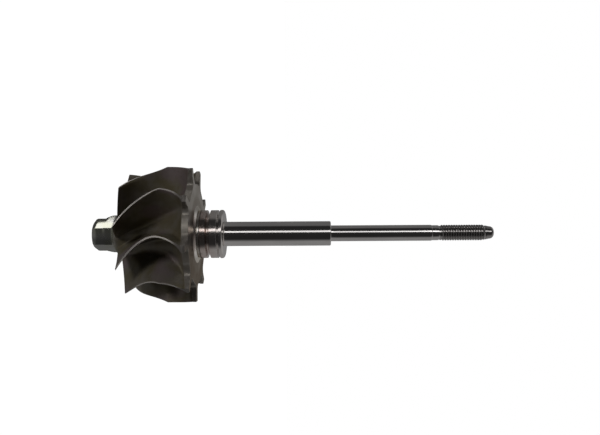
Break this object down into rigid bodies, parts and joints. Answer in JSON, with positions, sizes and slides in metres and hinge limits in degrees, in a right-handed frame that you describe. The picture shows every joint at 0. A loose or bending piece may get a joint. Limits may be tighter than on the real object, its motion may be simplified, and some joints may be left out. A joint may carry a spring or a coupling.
{
  "type": "turbocharger turbine wheel with shaft",
  "caption": "Radial turbine wheel of a turbocharger, with twisted blades, a scalloped back disc and a hexagonal nose, welded to a stepped steel shaft with seal grooves and a threaded end.",
  "frame": {"origin": "centre of the flat end face of the wheel's nose, which is what the part stands on", "axes": "+Z along the rotor's axis, from the nose to the threaded end; X and Y square to it"},
  "size_m": [0.0532, 0.0534, 0.1576],
  "materials": {
    "cast_alloy": "dark brown-grey investment-cast nickel alloy, satin, with bright ground blade edges",
    "shaft_steel": "turned and ground steel, bright on the journal and stub, heat-tinted brown at the boss"
  },
  "bodies": {
    "root": {"turbine_wheel": "cast_alloy", "shaft": "shaft_steel"}
  },
  "joints": []
}
